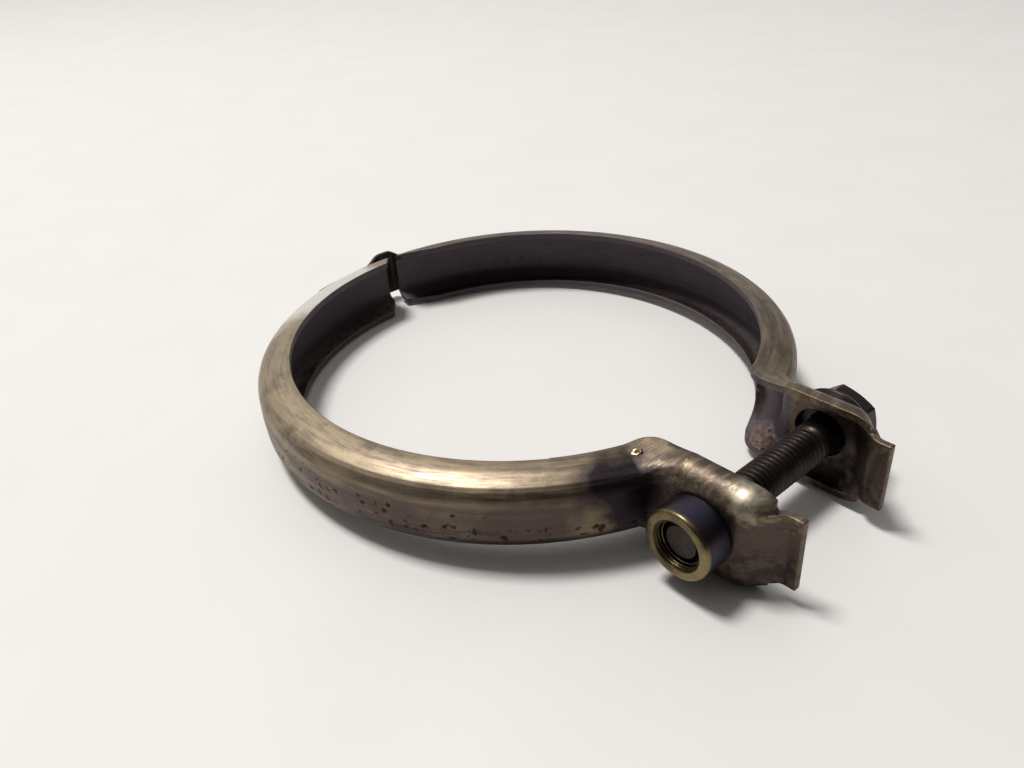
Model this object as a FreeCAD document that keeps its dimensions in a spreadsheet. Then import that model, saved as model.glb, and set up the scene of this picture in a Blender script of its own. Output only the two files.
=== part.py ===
import FreeCAD, Part
import math
import os
import Sketcher

# Two-part profiled clamp for an exhaust joint: a band of V section in two pressed halves, joined at
# the back by a spot-welded strap and drawn together at the front by one screw through two dished ears.
# Millimetres. The origin is the centre of the ring, +Z is the ring's axis, the ears point to -Y and
# the screw lies along X, with its head on the +X ear and its nut on the -X ear. The rear half is the
# one on the +X side.

V = FreeCAD.Vector

SIZES = (
    # the band's section
    ("seat_radius", 53.5, "inner edges of the band, which stand on the joint's two flanges"),
    ("band_depth", 8.0, "radial depth of the band, from its inner edges to the outside of its crown"),
    ("band_half_width", 8.1, "half the width over the inner edges"),
    ("flank_angle", 16.0, "slope of each flank, so the V has an included angle of 32 degrees"),
    ("sheet_gauge", 1.5, "thickness of the pressed sheet"),
    ("crown_round", 3.0, "outer radius of the crown's two corners"),
    ("back_gap", 3.4, "gap between the two halves at the back, across the crown"),
    ("gap_offset", 3.35, "distance of the gap's middle from the clamp's middle plane"),
    ("rear_clip_depth", 3.0, "depth of the flanks' cut-off corners beside the gap, on the rear half"),
    ("rear_clip_length", 7.0, "length of those corners"),
    ("front_clip_depth", 4.5, "depth of the flanks' cut-off corners beside the gap, on the front half"),
    ("front_clip_length", 3.2, "length of those corners"),
    # the ears
    ("ear_edge", 14.4, "distance of an ear's trimmed rim from the middle of the clamp"),
    ("ear_depth", 5.6, "depth of an ear, from its rim to the outside of its floor"),
    ("rear_ear_half_height", 9.95, "half the height of the rear ear"),
    ("rear_ear_drop", 0.65, "distance of that ear's middle below the band's"),
    ("rear_lip_half_height", 7.3, "half the height of its lip"),
    ("front_ear_half_height", 10.55, "half the height of the front ear"),
    ("front_ear_drop", 1.35, "distance of that ear's middle below the band's"),
    ("front_lip_half_height", 7.5, "half the height of its lip"),
    ("ear_round", 4.4, "outer radius between an ear's floor and its side walls"),
    ("bend_radius", 5.0, "outer radius of the bend from the crown to an ear's floor"),
    ("bend_allowance", 2.6, "sheet left on the bend's edges before they are trimmed"),
    ("bend_edge_round", 5.0, "radius of the trimmed edges from the seat to an ear's rim"),
    ("ramp_start", 13.6, "level length of an ear's floor, from the bend's end to the foot of the ramp"),
    ("ramp_end", 18.8, "distance from the bend's end at which the ramp reaches the rim's plane"),
    ("ramp_round", 5.0, "outer radius at the foot of the ramp"),
    ("rim_end", 16.6, "distance from the bend's end at which an ear's side walls end"),
    ("lip_end", 21.7, "distance of the lip's free edge from the bend's end"),
    ("lip_round", 2.0, "inner radius between the ramp and the lip"),
    ("waist_radius", 1.1, "radius of the two nicks between ear and lip"),
    ("slot_reach", 5.0, "distance of the middle of the screw's slot from the bend's end"),
    ("slot_length", 11.0, "length of that slot, along the ear"),
    ("slot_width", 9.9, "width of that slot"),
    # the joining strap
    ("strap_gauge", 1.0, "thickness of the strap"),
    ("strap_half_width", 4.4, "half the width of the strap's wings"),
    ("strap_angle", 23.2, "angle that each wing of the strap covers, from the middle of the gap"),
    ("arch_radius", 2.6, "inner radius of the arch over the gap"),
    ("arch_half_width", 6.4, "half the width of that arch"),
    # the screw and its nut
    ("screw_reach", 5.68, "distance of the screw's axis from the bend's end"),
    ("screw_drop", 0.9, "distance of that axis below the band's middle"),
    ("screw_radius", 4.0, "half the screw's nominal diameter, M8"),
    ("screw_tip", 25.2, "distance of the screw's end from the middle of the clamp"),
    ("tip_chamfer", 0.8, "chamfer on the screw's end"),
    ("collar_radius", 8.3, "radius of the collar under the screw's head"),
    ("collar_height", 2.8, "height of that collar"),
    ("collar_top_chamfer", 0.6, "chamfer on the collar's outer edge"),
    ("collar_under_chamfer", 1.6, "chamfer on the collar's edge towards the ear, clear of the bend"),
    ("head_flats", 13.0, "width of the screw's hexagon head across its flats"),
    ("head_height", 7.35, "height of the head with its collar"),
    ("head_turn", 20.0, "angle of the hexagon's first corner about the screw, from +Y towards +Z"),
    ("head_face_radius", 5.4, "radius of the flat end of the head, inside its chamfer"),
    ("head_chamfer_angle", 30.0, "slope of that chamfer against the flat end"),
    ("head_seat_gap", 0.35, "room between the collar and the ear, so that it clears the bend"),
    ("nut_radius", 6.9, "outer radius of the round nut"),
    ("nut_height", 6.4, "length of the nut along the screw"),
    ("nut_chamfer", 0.7, "chamfer on the nut's outer edges"),
    ("nut_mouth_radius", 4.95, "radius of the recess in the nut's outer face"),
    ("nut_mouth_depth", 1.6, "depth of that recess"),
    ("nut_running_gap", 0.06, "radial room between the screw and the nut"),
    ("nut_seat_gap", 0.3, "room between the nut and the ear that it bears on"),
)

doc = FreeCAD.newDocument("exhaust_clamp")
sheet = doc.addObject("Spreadsheet::Sheet", "Sizes")
for row, (alias, value, meaning) in enumerate(SIZES, start=1):
    sheet.set("A%d" % row, alias)
    sheet.set("B%d" % row, str(value))
    sheet.set("C%d" % row, meaning)
    sheet.setAlias("B%d" % row, alias)
doc.recompute()


def size(expression):
    """The present value of an expression on the sheet's sizes."""
    value = sheet.evalExpression(expression)
    return float(getattr(value, "Value", value))


# Lengths that several pieces share, each written from the sheet's sizes
CROWN = "(Sizes.seat_radius + Sizes.band_depth)"
CROWN_HALF = "(Sizes.band_half_width - Sizes.band_depth * tan(Sizes.flank_angle * 1deg))"
EAR_FLOOR = "(Sizes.ear_edge + Sizes.ear_depth)"
BEND_X = "(Sizes.ear_edge + Sizes.ear_depth + Sizes.bend_radius)"
BEND_DISTANCE = "(Sizes.seat_radius + Sizes.band_depth + Sizes.bend_radius)"
BEND_Y = "sqrt(%s ^ 2 - %s ^ 2)" % (BEND_DISTANCE, BEND_X)
BEND_AZIMUTH = "asin(%s / %s)" % (BEND_X, BEND_DISTANCE)
RAMP_START = "(%s + Sizes.ramp_start)" % BEND_Y
RAMP_END = "(%s + Sizes.ramp_end)" % BEND_Y
RIM_END = "(%s + Sizes.rim_end)" % BEND_Y
LIP_END = "(%s + Sizes.lip_end)" % BEND_Y
SLOT_DISTANCE = "(%s + Sizes.slot_reach)" % BEND_Y
SCREW_DISTANCE = "(%s + Sizes.screw_reach)" % BEND_Y
GAP_HALF = "asin(Sizes.back_gap / 2 / %s)" % CROWN
GAP_MIDDLE = "asin(Sizes.gap_offset / %s)" % CROWN


# A coordinate of a point that lies on one of the sketch's own axes
ON_AXIS = "0"

# The slope of an ear's side walls
NO_SLOPE = "0"

# The corners of the band's section are rounds made of narrow flats: so many outside and inside
OUTER_FLATS = 3
INNER_FLATS = 2
HALF = 0.5

# The points of a sketched line or arc, as constraints number them
START = 1
END = 2
CENTRE = 3


def plane(body, role):
    """One of the body's own origin planes."""
    return [feature for feature in body.Origin.OriginFeatures if feature.Role == role][0]


def sketch_on(body, name, role, offset=None):
    """A sketch on an origin plane, moved along that plane's axes or turned about the ring's axis.

    offset maps a property of the attachment to an expression, such as Base.z or Rotation.Angle.
    """
    sketch = body.newObject("Sketcher::SketchObject", name)
    sketch.AttachmentSupport = [(plane(body, role), "")]
    sketch.MapMode = "FlatFace"
    for path, expression in (offset or {}).items():
        if path == "Rotation.Angle":
            axis = V(0, 0, 1) if role == "XY_Plane" else V(0, 1, 0)
            sketch.AttachmentOffset = FreeCAD.Placement(V(0, 0, 0), FreeCAD.Rotation(axis, 1))
        sketch.setExpression("AttachmentOffset." + path, expression)
    doc.recompute()
    return sketch


def bind(sketch, constraint, expression):
    """Adds a constraint whose value is an expression."""
    index = sketch.addConstraint(constraint)
    sketch.setExpression("Constraints[%d]" % index, expression)


def outline(sketch, corners):
    """A closed outline through corners given as (x, y, corner radius or None) in expressions."""
    points = [V(size(x), size(y), 0) for x, y, radius in corners]
    first = sketch.GeometryCount
    count = len(points)
    for i in range(count):
        sketch.addGeometry(Part.LineSegment(points[i], points[(i + 1) % count]), False)
    for i in range(count):
        following = first + (i + 1) % count
        sketch.addConstraint(Sketcher.Constraint("Coincident", first + i, END, following, START))
    for i, (x, y, radius) in enumerate(corners):
        bind(sketch, Sketcher.Constraint("DistanceX", -1, 1, first + i, START, points[i].x), x)
        if y == ON_AXIS:
            sketch.addConstraint(Sketcher.Constraint("PointOnObject", first + i, START, -1))
        else:
            bind(sketch, Sketcher.Constraint("DistanceY", -1, 1, first + i, START, points[i].y), y)
    for i, (x, y, radius) in enumerate(corners):
        if radius:
            sketch.fillet(first + i, START, size(radius), True, True)
            arcs = [k for k, item in enumerate(sketch.Geometry) if item.TypeId == "Part::GeomArcOfCircle"]
            bind(sketch, Sketcher.Constraint("Radius", arcs[-1], size(radius)), radius)
    doc.recompute()


def arc(sketch, centre, radius, start, end, ends=None, touches=None):
    """An arc of a circle, counterclockwise between two angles; all but the sketch are expressions.

    ends is Vertical or Horizontal where both ends lie straight above, below or beside the centre.
    touches is another arc and its end, on which this arc starts tangentially; it ends level with
    its centre then.
    """
    middle = V(size(centre[0]), size(centre[1]), 0)
    circle = Part.Circle(middle, V(0, 0, 1), size(radius))
    angles = (math.radians(size(start)), math.radians(size(end)))
    index = sketch.addGeometry(Part.ArcOfCircle(circle, *angles), False)
    if centre[0] == ON_AXIS:
        sketch.addConstraint(Sketcher.Constraint("PointOnObject", index, CENTRE, -2))
    else:
        bind(sketch, Sketcher.Constraint("DistanceX", -1, 1, index, CENTRE, middle.x), centre[0])
    if centre[1] == ON_AXIS:
        sketch.addConstraint(Sketcher.Constraint("PointOnObject", index, CENTRE, -1))
    elif not touches:
        bind(sketch, Sketcher.Constraint("DistanceY", -1, 1, index, CENTRE, middle.y), centre[1])
    bind(sketch, Sketcher.Constraint("Radius", index, size(radius)), radius)
    if touches:
        sketch.addConstraint(Sketcher.Constraint("Tangent", *touches, index, START))
        sketch.addConstraint(Sketcher.Constraint("Horizontal", index, END, index, CENTRE))
    if ends:
        for end in (START, END):
            sketch.addConstraint(Sketcher.Constraint(ends, index, end, index, CENTRE))
    return index


def join(sketch, first, first_end, second, second_end):
    """A line from an end of one arc to an end of another."""
    ends = (sketch.getPoint(first, first_end), sketch.getPoint(second, second_end))
    line = sketch.addGeometry(Part.LineSegment(*ends), False)
    sketch.addConstraint(Sketcher.Constraint("Coincident", line, START, first, first_end))
    sketch.addConstraint(Sketcher.Constraint("Coincident", line, END, second, second_end))
    return line


def edge_line(sketch, first, first_end, corners, last, last_end):
    """Lines from an arc's end through corners in expressions to another arc's end.

    The first line runs straight down from the arc, so only its lower end's y is bound.
    """
    points = [V(size(x), size(y), 0) for x, y in corners]
    stops = [sketch.getPoint(first, first_end)] + points + [sketch.getPoint(last, last_end)]
    lines = []
    for here, there in zip(stops, stops[1:]):
        lines.append(sketch.addGeometry(Part.LineSegment(here, there), False))
    sketch.addConstraint(Sketcher.Constraint("Coincident", first, first_end, lines[0], START))
    sketch.addConstraint(Sketcher.Constraint("Coincident", lines[-1], END, last, last_end))
    for line, following in zip(lines, lines[1:]):
        sketch.addConstraint(Sketcher.Constraint("Coincident", line, END, following, START))
    sketch.addConstraint(Sketcher.Constraint("Vertical", lines[0]))
    for i, (x, y) in enumerate(corners):
        if i > 0:
            bind(sketch, Sketcher.Constraint("DistanceX", -1, 1, lines[i], END, points[i].x), x)
        bind(sketch, Sketcher.Constraint("DistanceY", -1, 1, lines[i], END, points[i].y), y)
    doc.recompute()


def round_ended_slot(sketch, middle, length, width):
    """A slot along the sketch's x axis, centred on (middle, 0)."""
    half = "(%s - %s) / 2" % (length, width)
    radius = "%s / 2" % width
    far = arc(sketch, ("%s - %s" % (middle, half), ON_AXIS), radius, "90deg", "270deg", "Vertical")
    near = arc(sketch, ("%s + %s" % (middle, half), ON_AXIS), radius, "-90deg", "90deg", "Vertical")
    join(sketch, far, END, near, START)
    join(sketch, near, END, far, START)
    doc.recompute()


def half_annulus(sketch, centre_y, inner, outer):
    """The upper half of a flat ring about (0, centre_y)."""
    centre = (ON_AXIS, centre_y)
    arcs = [arc(sketch, centre, radius, "0deg", "180deg", "Horizontal") for radius in (inner, outer)]
    for end in (START, END):
        join(sketch, arcs[0], end, arcs[1], end)
    doc.recompute()


def negative(expression):
    return "-(%s)" % expression


def flats(count, centre_x, centre_y, radius, turn):
    """Corners of the flats that touch a round, from an angle of turn about its centre down to zero."""
    bend = "(%s / %d)" % (turn, count + 1)
    reach = "%s / cos(%s / 2)" % (radius, bend)
    points = []
    for k in range(count + 1):
        angle = "(%s - %s * %s)" % (turn, bend, k + HALF)
        x = "%s + %s * cos(%s)" % (centre_x, reach, angle)
        points.append((x, "(%s + %s * sin(%s))" % (centre_y, reach, angle), None))
    return points


def channel(sketch, edge, edge_half, slope, crown, crown_half, corner_round):
    """The sheet's section: two flanks of a slope in degrees and a crown, with concentric corners.

    Along x, edge is the free edges' place and crown the crown's outer face; along y, edge_half and
    crown_half are the half heights there over the outside, up to where flank and crown would meet.
    """
    turn = "(90deg - %s * 1deg)" % slope
    centre_x = "(%s - %s)" % (crown, corner_round)
    centre_y = "(%s - %s * tan(%s / 2))" % (crown_half, corner_round, turn)
    inner_edge_half = "(%s - Sizes.sheet_gauge / cos(%s * 1deg))" % (edge_half, slope)
    inner_round = "(%s - Sizes.sheet_gauge)" % corner_round
    outside = [(edge, edge_half, None)] + flats(OUTER_FLATS, centre_x, centre_y, corner_round, turn)
    inside = [(edge, inner_edge_half, None)] + flats(INNER_FLATS, centre_x, centre_y, inner_round, turn)
    lower_outside = [(x, negative(y), None) for x, y, radius in outside]
    lower_inside = [(x, negative(y), None) for x, y, radius in inside]
    outline(sketch, outside + lower_outside[::-1] + lower_inside + inside[::-1])


def band_section(sketch, allowance):
    """The V section, with flanks longer than the band's by an allowance."""
    edge = "(Sizes.seat_radius - %s)" % allowance
    edge_half = "(Sizes.band_half_width + %s * tan(Sizes.flank_angle * 1deg))" % allowance
    channel(sketch, edge, edge_half, "Sizes.flank_angle", CROWN, CROWN_HALF, "Sizes.crown_round")


def half_ring(half, gap_azimuth):
    """The band's arc from the back gap on, and the bend that turns it outwards into the ear.

    half is rear or front, as in the names of the sizes; gap_azimuth is the arc's end beside the gap,
    from +Y towards +X.
    """
    clip_depth = "Sizes.%s_clip_depth" % half
    clip_length = "Sizes.%s_clip_length" % half
    ear_half_height = "Sizes.%s_ear_half_height" % half
    body = doc.addObject("PartDesign::Body", "half_ring")
    section = sketch_on(body, "band_section", "XZ_Plane")
    band_section(section, "0")
    ring = body.newObject("PartDesign::Revolution", "ring")
    ring.Profile = section
    ring.ReferenceAxis = (section, ["V_Axis"])
    ring.Type = "TwoAngles"
    ring.setExpression("Angle", "90 - %s / 1deg" % gap_azimuth)
    ring.setExpression("Angle2", "90 - %s / 1deg" % BEND_AZIMUTH)
    doc.recompute()

    # The flanks' corners beside the gap are cut off along one straight line
    clip = sketch_on(body, "clipped_corners", "XY_Plane", {"Rotation.Angle": negative(gap_azimuth)})
    outline(clip, (
        (negative(clip_length), "Sizes.seat_radius + 2 * " + clip_depth, None),
        ("2 * " + clip_length, "Sizes.seat_radius - " + clip_depth, None),
        (negative(clip_length), "Sizes.seat_radius - " + clip_depth, None),
    ))
    shaped(body, "Pocket", "clipped_flanks", clip, "4 * Sizes.band_half_width")

    path = sketch_on(body, "bend_path", "XY_Plane")
    arc(path, (BEND_X, negative(BEND_Y)), "Sizes.bend_radius", "90deg + %s" % BEND_AZIMUTH, "180deg")
    bend_start = sketch_on(body, "bend_start", "XZ_Plane", {"Rotation.Angle": "-90deg + %s" % BEND_AZIMUTH})
    band_section(bend_start, "Sizes.bend_allowance")
    end_place = {"Base.y": "-Sizes.%s_ear_drop" % half, "Base.z": BEND_Y}
    bend_end = sketch_on(body, "bend_end", "XZ_Plane", end_place)
    channel(bend_end, "Sizes.ear_edge - Sizes.bend_allowance", ear_half_height, NO_SLOPE,
            EAR_FLOOR, ear_half_height, "Sizes.ear_round")
    bend = body.newObject("PartDesign::AdditivePipe", "bend")
    bend.Profile = bend_start
    bend.Spine = (path, ["Edge1"])
    bend.Sections = [bend_end]
    bend.Transformation = "Multisection"
    doc.recompute()

    # Seen along the ring's axis, the bend's edges follow the seat and round off into the ear's rim
    edges = sketch_on(body, "bend_edges", "XY_Plane")
    round_x = "(Sizes.ear_edge + Sizes.bend_edge_round)"
    round_distance = "(Sizes.seat_radius + Sizes.bend_edge_round)"
    touch = "asin(%s / %s)" % (round_x, round_distance)
    seat_ends = ("-90deg + " + touch, "-90deg + 1.3 * " + BEND_AZIMUTH)
    seat = arc(edges, (ON_AXIS, ON_AXIS), "Sizes.seat_radius", *seat_ends)
    corner = (round_x, "-sqrt(%s ^ 2 - %s ^ 2)" % (round_distance, round_x))
    round_ends = ("90deg + " + touch, "180deg")
    rounding = arc(edges, corner, "Sizes.bend_edge_round", *round_ends, touches=(seat, START))
    past_end = "-(%s + Sizes.sheet_gauge)" % BEND_Y
    inside = "Sizes.ear_edge - 2 * Sizes.bend_allowance"
    above = "-(Sizes.seat_radius - 3.5 * Sizes.bend_allowance)"
    corners = (("Sizes.ear_edge", past_end), (inside, past_end), (inside, above))
    edge_line(edges, rounding, END, corners, seat, END)
    shaped(body, "Pocket", "trimmed_bend", edges, "4 * " + ear_half_height)
    return body


def shaped(body, kind, name, sketch, length, both_sides=True):
    """A pad or a pocket, of equal length on both sides of its sketch or on one side only."""
    feature = body.newObject("PartDesign::" + kind, name)
    feature.Profile = sketch
    feature.Midplane = both_sides
    feature.setExpression("Length", length)
    doc.recompute()
    return feature


def rounded(body, name, base, chosen, radius):
    """Rounds those edges of base for which chosen(edge) is true."""
    edges = ["Edge%d" % k for k, edge in enumerate(base.Shape.Edges, start=1) if chosen(edge)]
    feature = body.newObject("PartDesign::Fillet", name)
    feature.Base = (base, edges)
    feature.setExpression("Radius", radius)
    doc.recompute()
    return feature


def floor_edges(half_height, open_side):
    """Chooses the level edges that follow the ear's floor, and not those on its open side."""
    def chosen(edge):
        box = edge.BoundBox
        level = abs(abs(box.ZMin) - half_height) < 1e-4 and abs(box.ZMax - box.ZMin) < 1e-4
        return level and box.YLength > 1e-3 and box.XMax > open_side + 1e-3
    return chosen


def dished_ear(half):
    """The dished end of the rear or the front half: floor, side walls, ramp and lip."""
    body = doc.addObject("PartDesign::Body", "dished_ear")
    body.setExpression("Placement.Base.z", "-Sizes.%s_ear_drop" % half)
    half_height = "Sizes.%s_ear_half_height" % half
    lip_half_height = "Sizes.%s_lip_half_height" % half
    gauge = "Sizes.sheet_gauge"
    start = negative(BEND_Y)
    # The ramp's rise and run, its length and the tangent of half its turn
    rise = "Sizes.ear_depth"
    run = "(Sizes.ramp_end - Sizes.ramp_start)"
    slant = "sqrt(%s ^ 2 + %s ^ 2)" % (rise, run)
    half_turn = "((%s - %s) / %s)" % (slant, run, rise)
    # Block and hollow run on past the rim's plane, where the trimming cut ends them
    open_side = "(Sizes.ear_edge - %s)" % rise
    open_end = "(%s + %s)" % (RAMP_END, run)
    inner_floor = "(%s - %s)" % (EAR_FLOOR, gauge)
    inner_foot = "(%s - %s * %s)" % (RAMP_START, gauge, half_turn)

    outer = sketch_on(body, "outer_form", "XY_Plane")
    outline(outer, (
        (open_side, start, None),
        (EAR_FLOOR, start, None),
        (EAR_FLOOR, negative(RAMP_START), "Sizes.ramp_round"),
        (open_side, negative(open_end), None),
    ))
    block = shaped(body, "Pad", "block", outer, "2 * " + half_height)
    outer_edges = floor_edges(size(half_height), size(open_side))
    rounded(body, "outer_rounds", block, outer_edges, "Sizes.ear_round")

    inner = sketch_on(body, "inner_form", "XY_Plane")
    before = "(%s + %s)" % (start, gauge)
    beyond = "(%s - %s)" % (open_side, gauge)
    outline(inner, (
        (beyond, before, None),
        (inner_floor, before, None),
        (inner_floor, negative(inner_foot), "Sizes.ramp_round - %s" % gauge),
        (beyond, "-(%s + 2 * %s)" % (inner_foot, run), None),
    ))
    hollow = shaped(body, "Pocket", "hollow", inner, "2 * (%s - %s)" % (half_height, gauge))
    inner_edges = floor_edges(size("%s - %s" % (half_height, gauge)), size(open_side))
    rounded(body, "inner_rounds", hollow, inner_edges, "Sizes.ear_round - %s" % gauge)

    rim = sketch_on(body, "rim_plane", "XY_Plane")
    outline(rim, (
        (beyond, before, None),
        ("Sizes.ear_edge", before, None),
        ("Sizes.ear_edge", "-(%s + %s)" % (open_end, gauge), None),
        (beyond, "-(%s + %s)" % (open_end, gauge), None),
    ))
    shaped(body, "Pocket", "trimmed_rim", rim, "3 * " + half_height)

    # The lip carries the ramp's sheet on and turns it parallel to the floor
    root_x = "(Sizes.ear_edge + (Sizes.ramp_end - Sizes.rim_end) * %s / %s)" % (rise, run)
    lip = sketch_on(body, "lip_section", "XY_Plane")
    outline(lip, (
        (root_x, negative(RIM_END), None),
        ("Sizes.ear_edge", negative(RAMP_END), "Sizes.lip_round"),
        ("Sizes.ear_edge", negative(LIP_END), None),
        ("Sizes.ear_edge - %s" % gauge, negative(LIP_END), None),
        ("Sizes.ear_edge - %s" % gauge, "-(%s - %s * %s)" % (RAMP_END, gauge, half_turn),
         "Sizes.lip_round + %s" % gauge),
        ("%s - %s * %s / %s" % (root_x, gauge, run, slant),
         "-%s + %s * %s / %s" % (RIM_END, gauge, rise, slant), None),
    ))
    shaped(body, "Pad", "lip", lip, "2 * " + lip_half_height)

    # Seen from the screw's head, the side walls end above and below the lip
    ends = sketch_on(body, "wall_ends", "YZ_Plane")
    past_lip = "-(%s + %s)" % (LIP_END, gauge)
    for side in ("", "-"):
        outline(ends, (
            (negative(RIM_END), side + lip_half_height, "Sizes.waist_radius"),
            (past_lip, side + lip_half_height, None),
            (past_lip, side + "1.5 * " + half_height, None),
            (negative(RIM_END), side + "1.5 * " + half_height, None),
        ))
    shaped(body, "Pocket", "trimmed_ends", ends, "4 * " + EAR_FLOOR)
    return body


def slot_form():
    """What the screw's slot leaves out of an ear's floor and of the end of its bend."""
    body = doc.addObject("PartDesign::Body", "slot_form")
    body.setExpression("Placement.Base.z", "-Sizes.screw_drop")
    slot = sketch_on(body, "slot_outline", "YZ_Plane")
    round_ended_slot(slot, negative(SLOT_DISTANCE), "Sizes.slot_length", "Sizes.slot_width")
    shaped(body, "Pad", "slot", slot, "4 * " + EAR_FLOOR)
    return body


def band_half(half, gap_azimuth):
    """The rear or the front half of the band: its arc and bend, and the slotted ear that ends it."""
    pressing = doc.addObject("Part::MultiFuse", "pressing")
    pressing.Shapes = [half_ring(half, gap_azimuth), dished_ear(half)]
    pressing.Refine = True
    slotted = doc.addObject("Part::Cut", half + "_half")
    slotted.Base = pressing
    slotted.Tool = slot_form()
    doc.recompute()
    return slotted


def mirrored_half(source):
    """A half of the band, carried to the other side of the clamp's middle plane."""
    image = doc.addObject("Part::Mirroring", "mirrored_half")
    image.Source = source
    image.Base = V(0, 0, 0)
    image.Normal = V(1, 0, 0)
    doc.recompute()
    return image


def joining_strap():
    """One strip over the gap at the back, welded to both crowns and arched between them."""
    body = doc.addObject("PartDesign::Body", "joining_strap")
    top = "(%s + Sizes.strap_gauge)" % CROWN
    foot = "asin(Sizes.arch_radius / %s)" % CROWN
    wing = "(Sizes.strap_angle - %s / 1deg)" % foot
    wings = (("right", "(90deg - %s - Sizes.strap_angle * 1deg)" % GAP_MIDDLE),
             ("left", "(90deg - %s + %s)" % (GAP_MIDDLE, foot)))
    for name, azimuth in wings:
        section = sketch_on(body, name + "_wing_section", "XZ_Plane", {"Rotation.Angle": azimuth})
        outline(section, (
            (CROWN, "Sizes.strap_half_width", None),
            (CROWN, "-Sizes.strap_half_width", None),
            (top, "-Sizes.strap_half_width", None),
            (top, "Sizes.strap_half_width", None),
        ))
        feature = body.newObject("PartDesign::Revolution", name + "_wing")
        feature.Profile = section
        feature.ReferenceAxis = (section, ["V_Axis"])
        feature.setExpression("Angle", wing)
        doc.recompute()
    arch = sketch_on(body, "arch_section", "XY_Plane", {"Rotation.Angle": negative(GAP_MIDDLE)})
    leg = "sqrt(%s ^ 2 - Sizes.arch_radius ^ 2)" % CROWN
    half_annulus(arch, leg, "Sizes.arch_radius", "Sizes.arch_radius + Sizes.strap_gauge")
    shaped(body, "Pad", "arch", arch, "2 * Sizes.arch_half_width")
    return body


def turned(body, kind, name, corners):
    """A revolution or a groove about the screw's axis, from a half section of (x, radius, round)."""
    place = {"Base.y": negative(SCREW_DISTANCE), "Base.z": "-Sizes.screw_drop"}
    section = sketch_on(body, name + "_section", "XY_Plane", place)
    outline(section, corners)
    feature = body.newObject("PartDesign::" + kind, name)
    feature.Profile = section
    feature.ReferenceAxis = (section, ["H_Axis"])
    feature.Angle = 360
    doc.recompute()


def screw():
    """The screw: chamfered end, plain shank at the thread's outer diameter, collar and hexagon head."""
    seat = "(%s + Sizes.head_seat_gap)" % EAR_FLOOR
    collar_top = "(%s + Sizes.collar_height)" % seat
    head_top = "(%s + Sizes.head_height)" % seat
    body = doc.addObject("PartDesign::Body", "screw")
    turned(body, "Revolution", "shank_and_collar", (
        ("-Sizes.screw_tip", ON_AXIS, None),
        ("-Sizes.screw_tip", "Sizes.screw_radius - Sizes.tip_chamfer", None),
        ("-Sizes.screw_tip + Sizes.tip_chamfer", "Sizes.screw_radius", None),
        (seat, "Sizes.screw_radius", None),
        (seat, "Sizes.collar_radius - Sizes.collar_under_chamfer", None),
        ("%s + Sizes.collar_under_chamfer" % seat, "Sizes.collar_radius", None),
        ("%s - Sizes.collar_top_chamfer" % collar_top, "Sizes.collar_radius", None),
        (collar_top, "Sizes.collar_radius - Sizes.collar_top_chamfer", None),
        (collar_top, ON_AXIS, None),
    ))

    place = {"Base.x": negative(SCREW_DISTANCE), "Base.y": "-Sizes.screw_drop", "Base.z": collar_top}
    hexagon = sketch_on(body, "hexagon", "YZ_Plane", place)
    corner_reach = "(Sizes.head_flats / 2 / cos(30deg))"
    corners = []
    for k in range(6):
        angle = "(Sizes.head_turn * 1deg + %d * 60deg)" % k
        corners.append(("%s * cos(%s)" % (corner_reach, angle), "%s * sin(%s)" % (corner_reach, angle), None))
    outline(hexagon, corners)
    shaped(body, "Pad", "head", hexagon, "Sizes.head_height - Sizes.collar_height", both_sides=False)

    # The cut that chamfers the hexagon's corners ends just outside them
    width = "(1.2 * (%s - Sizes.head_face_radius))" % corner_reach
    outer = "(Sizes.head_face_radius + %s)" % width
    turned(body, "Groove", "head_chamfer", (
        (head_top, "Sizes.head_face_radius", None),
        (head_top, outer, None),
        ("%s - %s * tan(Sizes.head_chamfer_angle * 1deg)" % (head_top, width), outer, None),
    ))
    return body


def nut():
    """The round nut: chamfered, with a plain recess in its outer face and a bore on the thread."""
    seat = "(-(%s + Sizes.nut_seat_gap))" % EAR_FLOOR
    face = "(%s - Sizes.nut_height)" % seat
    bore = "(Sizes.screw_radius + Sizes.nut_running_gap)"
    body = doc.addObject("PartDesign::Body", "nut")
    turned(body, "Revolution", "turning", (
        (seat, bore, None),
        (seat, "Sizes.nut_radius - Sizes.nut_chamfer", None),
        ("%s - Sizes.nut_chamfer" % seat, "Sizes.nut_radius", None),
        ("%s + Sizes.nut_chamfer" % face, "Sizes.nut_radius", None),
        (face, "Sizes.nut_radius - Sizes.nut_chamfer", None),
        (face, "Sizes.nut_mouth_radius", None),
        ("%s + Sizes.nut_mouth_depth" % face, "Sizes.nut_mouth_radius", None),
        ("%s + Sizes.nut_mouth_depth" % face, bore, None),
    ))
    return body


pieces = {
    "rear_half_band": band_half("rear", "(%s + %s)" % (GAP_HALF, GAP_MIDDLE)),
    "front_half_band": mirrored_half(band_half("front", "(%s - %s)" % (GAP_HALF, GAP_MIDDLE))),
    "back_strap": joining_strap(),
    "clamp_screw": screw(),
    "round_nut": nut(),
}
for name, piece in pieces.items():
    piece.Label = name

doc.recompute()
for item in doc.Objects:
    if "Invalid" in item.State or "Error" in item.State:
        raise RuntimeError("%s did not compute" % item.Label)
for name, piece in pieces.items():
    shape = piece.Shape
    if shape.isNull() or not shape.isValid() or len(shape.Solids) != 1:
        raise RuntimeError("%s is not one valid solid" % name)

os.makedirs("parts", exist_ok=True)
for name, piece in pieces.items():
    piece.Shape.exportStep("parts/%s.step" % name)
    print(name, "volume %.1f mm3, area %.1f mm2" % (piece.Shape.Volume, piece.Shape.Area))
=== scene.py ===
import math

import bmesh
import bpy
from mathutils import Matrix, Vector


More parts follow.
